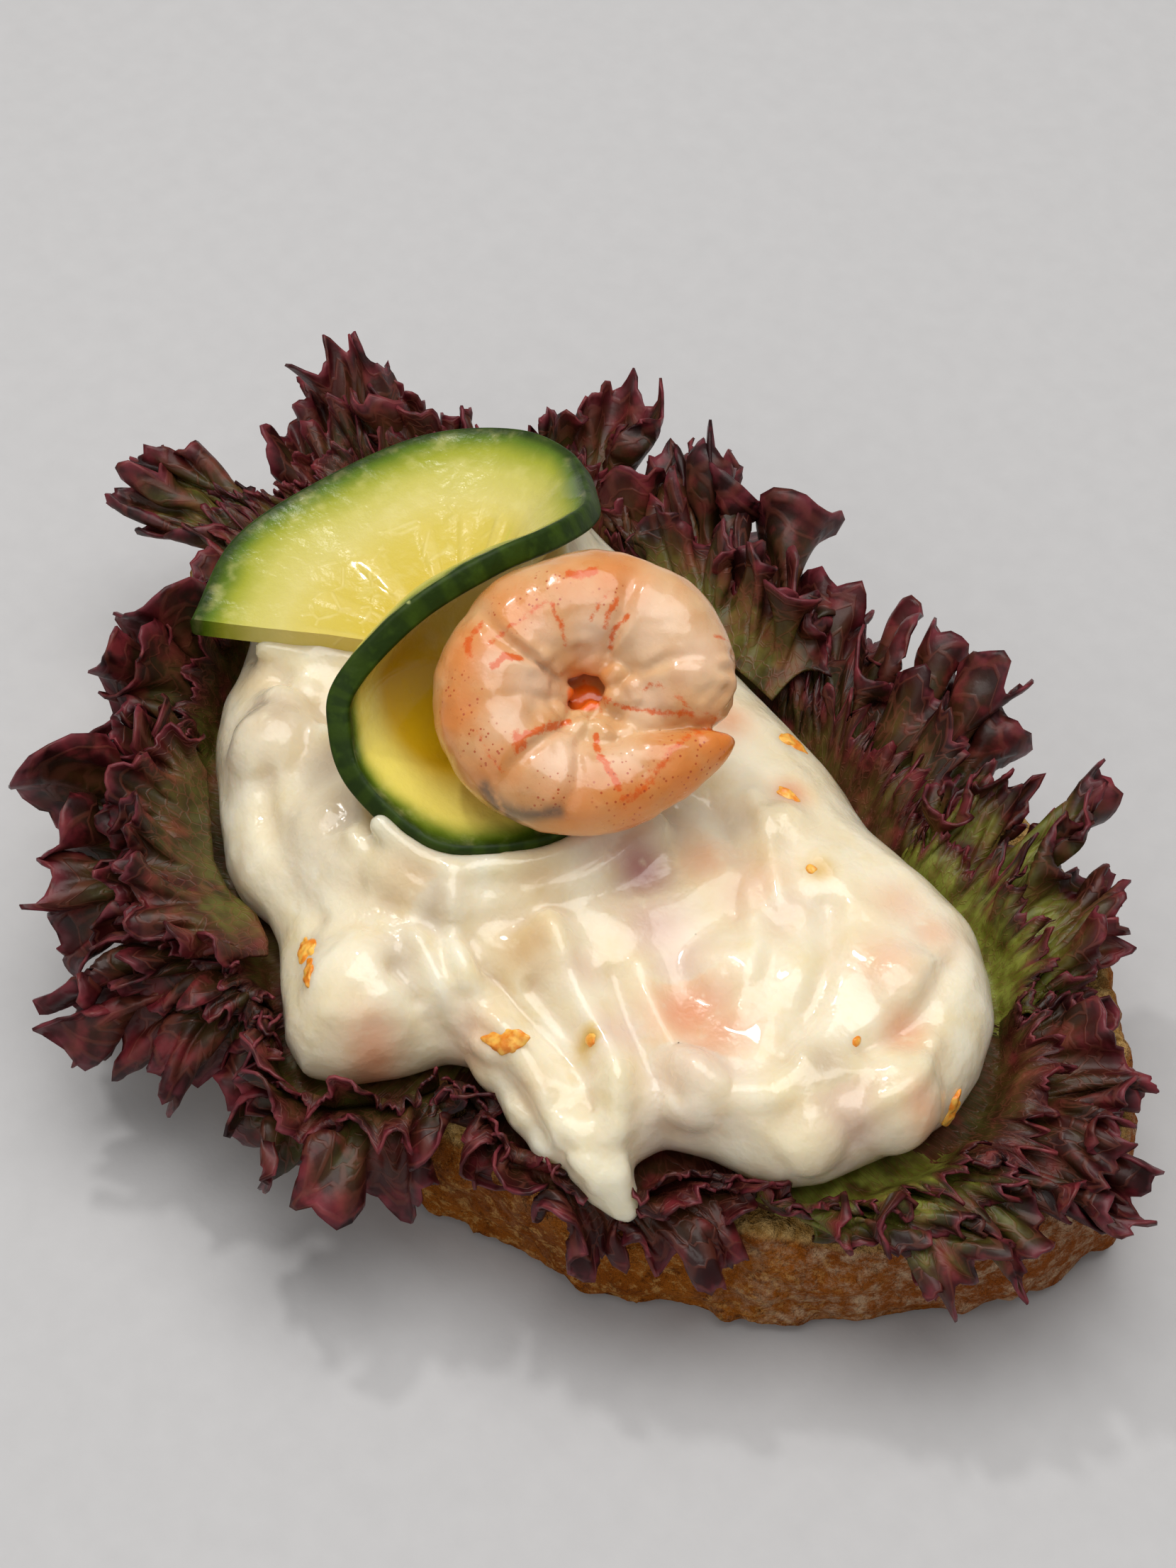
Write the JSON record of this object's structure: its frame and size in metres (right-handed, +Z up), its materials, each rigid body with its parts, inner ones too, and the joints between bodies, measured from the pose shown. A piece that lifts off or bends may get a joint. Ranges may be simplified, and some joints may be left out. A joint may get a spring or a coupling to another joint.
{
  "type": "shrimp sandwich",
  "caption": "Open sandwich: a thick bread slice with frilly red lettuce, a mound of shrimp salad, a twisted cucumber slice and a curled shrimp on top.",
  "frame": {"origin": "on the flat underside of the bread, near the middle of the slice", "axes": "+X along the length of the bread towards its pointed end, +Z up from the surface it rests on"},
  "size_m": [0.13, 0.0923, 0.0468],
  "materials": {
    "bread": "floury browned crust over a dry open crumb",
    "salad": "moist creamy dressing with soft gloss",
    "cucumber": "wet cut flesh with a dark green skin",
    "shrimp": "cooked and moist with orange stripes",
    "lettuce": "crisp ruffled leaf with a satin sheen"
  },
  "bodies": {
    "root": {"bread": "bread", "salad": "salad", "cucumber": "cucumber", "shrimp": "shrimp", "leaf_stalk": "lettuce", "leaf_back_left": "lettuce", "leaf_back": "lettuce", "leaf_back_right": "lettuce", "leaf_right_back": "lettuce", "leaf_right": "lettuce", "leaf_end": "lettuce", "leaf_front_right": "lettuce", "leaf_front": "lettuce", "leaf_front_left": "lettuce", "leaf_left_low": "lettuce", "leaf_left": "lettuce", "leaf_left_back": "lettuce", "leaf_left_upper": "lettuce", "leaf_back_upper": "lettuce"}
  },
  "joints": []
}
